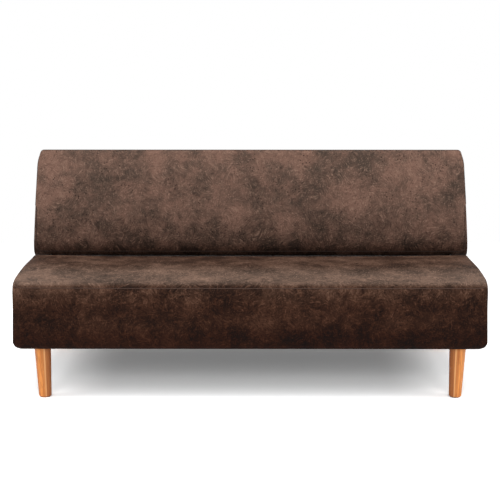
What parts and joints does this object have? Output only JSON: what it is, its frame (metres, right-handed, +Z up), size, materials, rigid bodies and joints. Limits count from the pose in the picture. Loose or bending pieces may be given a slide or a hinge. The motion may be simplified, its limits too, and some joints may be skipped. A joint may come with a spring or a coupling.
{
  "type": "futon",
  "caption": "Armless click-clack futon: padded seat on a slatted wooden base with turned legs, and a padded back that reclines flat on ratchet hinges.",
  "frame": {"origin": "on the floor, under the middle of the base", "axes": "+X to the right seen from the front, +Y from front to rear, +Z up"},
  "size_m": [1.7, 0.81, 0.836],
  "materials": {
    "cover": "satin",
    "leg_oak": "satin",
    "foam": "matte",
    "wadding": "matte",
    "felt": "matte",
    "lining": "matte",
    "glide_plastic": "matte",
    "bumper_rubber": "matte",
    "hardboard": "matte",
    "frame_pine": "matte",
    "hinge_steel": "satin",
    "bright_steel": "satin"
  },
  "bodies": {
    "base": {"back_rest_bumpers": "bumper_rubber", "corner_blocks": "frame_pine", "cross_bearers": "frame_pine", "dust_cover": "lining", "frame_screws": "bright_steel", "front_edge_padding": "wadding", "front_left_glide": "glide_plastic", "front_left_leg": "leg_oak", "front_rail": "frame_pine", "front_right_glide": "glide_plastic", "front_right_leg": "leg_oak", "hinge_pins": "bright_steel", "hinge_seat_bolts": "bright_steel", "left_edge_padding": "wadding", "left_hinge_seat_arm": "hinge_steel", "left_pawl_spring": "bright_steel", "left_side_rail": "frame_pine", "leg_bolts": "bright_steel", "leg_plate_screws": "bright_steel", "leg_plates": "hinge_steel", "pawl_pins": "bright_steel", "rear_deck": "hardboard", "rear_edge_padding": "wadding", "rear_left_glide": "glide_plastic", "rear_left_leg": "leg_oak", "rear_rail": "frame_pine", "rear_right_glide": "glide_plastic", "rear_right_leg": "leg_oak", "right_edge_padding": "wadding", "right_hinge_seat_arm": "hinge_steel", "right_pawl_spring": "bright_steel", "right_side_rail": "frame_pine", "seat_cover": "cover", "seat_felt_pad": "felt", "seat_foam": "foam", "seat_rear_rail": "frame_pine", "seat_slats": "frame_pine"},
    "back": {"back_board": "hardboard", "back_bottom_rail": "frame_pine", "back_cover": "cover", "back_foam": "foam", "back_frame_screws": "bright_steel", "back_left_padding": "wadding", "back_left_stile": "frame_pine", "back_right_padding": "wadding", "back_right_stile": "frame_pine", "back_slats": "frame_pine", "back_top_padding": "wadding", "back_top_rail": "frame_pine", "hinge_back_bolts": "bright_steel", "left_hinge_back_arm": "hinge_steel", "left_ratchet_disc": "hinge_steel", "right_hinge_back_arm": "hinge_steel", "right_ratchet_disc": "hinge_steel"},
    "left_pawl": {"left_pawl": "bright_steel"},
    "right_pawl": {"right_pawl": "bright_steel"}
  },
  "joints": [
    {"name": "back_recline", "type": "hinge", "parent": "base", "child": "back", "pos_m": [0, 0.166, 0.41], "axis": [-1, 0, 0], "range_deg": [-10, 75]},
    {"name": "left_pawl_swing", "type": "hinge", "parent": "base", "child": "left_pawl", "pos_m": [0, 0.16042, 0.38174], "axis": [1, 0, 0], "range_deg": [0, 15]},
    {"name": "right_pawl_swing", "type": "hinge", "parent": "base", "child": "right_pawl", "pos_m": [0, 0.16042, 0.38174], "axis": [1, 0, 0], "range_deg": [0, 15]}
  ],
  "couplings": [
    {"joint": "right_pawl_swing", "follows": "left_pawl_swing", "ratio": 1}
  ]
}
